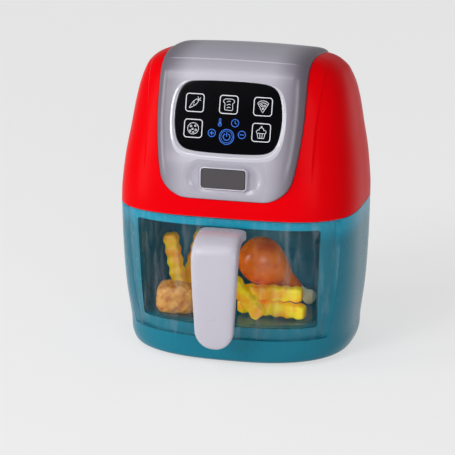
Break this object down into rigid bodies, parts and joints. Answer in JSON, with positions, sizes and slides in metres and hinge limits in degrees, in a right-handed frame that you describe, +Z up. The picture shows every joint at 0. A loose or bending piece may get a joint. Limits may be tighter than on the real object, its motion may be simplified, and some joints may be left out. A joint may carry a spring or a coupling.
{
  "type": "toy air fryer",
  "caption": "Toy air fryer with a domed top, a sloping press panel, a clear curved drawer with a tongue handle that slides out of its front, and play food inside.",
  "frame": {"origin": "on the surface it stands on, under the middle of the whole outline with the handle", "axes": "+Z up, -Y the front that the drawer slides out of, +X to the right when facing the front"},
  "size_m": [0.16, 0.147, 0.203],
  "materials": {
    "teal_plastic": "satin",
    "dark_teal_plastic": "matte",
    "red_plastic": "high gloss",
    "grey_plastic": "satin",
    "pale_grey_plastic": "satin",
    "black_panel": "high gloss",
    "smoked_lens": "high gloss",
    "clear_plastic": "clear",
    "zinc_screw": "zinc plated",
    "spring_steel": "bright",
    "circuit_board": "solder mask",
    "black_plastic": "matte",
    "cell_wrap": "gloss wrap",
    "fry_yellow": "soft satin",
    "meat_brown": "gloss",
    "foot_rubber": "matte"
  },
  "bodies": {
    "housing": {"lower_housing": "teal_plastic", "drawer_bay": "dark_teal_plastic", "deck_plate": "black_plastic", "upper_housing": "red_plastic", "control_fascia": "grey_plastic", "display_window": "smoked_lens", "display_module": "black_plastic", "circuit_board": "circuit_board", "board_screw_1": "zinc_screw", "board_screw_2": "zinc_screw", "tact_switch": "black_plastic", "panel_spring_left": "spring_steel", "panel_spring_right": "spring_steel", "housing_screw_1": "zinc_screw", "housing_screw_2": "zinc_screw", "deck_screw_1": "zinc_screw", "deck_screw_2": "zinc_screw", "battery_box": "black_plastic", "battery_door": "red_plastic", "battery_door_screw": "zinc_screw", "battery_1": "cell_wrap", "battery_2": "cell_wrap", "contact_plate_left": "spring_steel", "contact_plate_right": "spring_steel", "contact_spring_1": "spring_steel", "contact_spring_2": "spring_steel", "speaker_frame": "zinc_screw", "speaker_cone": "black_plastic", "speaker_magnet": "zinc_screw", "rubber_foot_1": "foot_rubber", "rubber_foot_2": "foot_rubber", "rubber_foot_3": "foot_rubber", "rubber_foot_4": "foot_rubber"},
    "drawer": {"food_drawer": "clear_plastic", "drawer_handle": "pale_grey_plastic", "handle_screw_1": "zinc_screw", "handle_screw_2": "zinc_screw", "crinkle_fry_1": "fry_yellow", "crinkle_fry_2": "fry_yellow", "crinkle_fry_3": "fry_yellow", "crinkle_fry_4": "fry_yellow", "crinkle_fry_5": "fry_yellow", "crinkle_fry_6": "fry_yellow", "drumstick": "meat_brown", "nugget": "meat_brown"},
    "button_panel": {"push_panel": "black_panel"}
  },
  "joints": [
    {"name": "drawer_slide", "type": "slide", "parent": "housing", "child": "drawer", "axis": [0, -1, 0], "range_m": [0, 0.105]},
    {"name": "panel_press", "type": "slide", "parent": "housing", "child": "button_panel", "axis": [0, 0.9616, -0.2745], "range_m": [0, 0.0015], "stiffness_N_per_m": 600, "springref_m": -0.001, "deforming": ["panel_spring_left", "panel_spring_right"]}
  ]
}
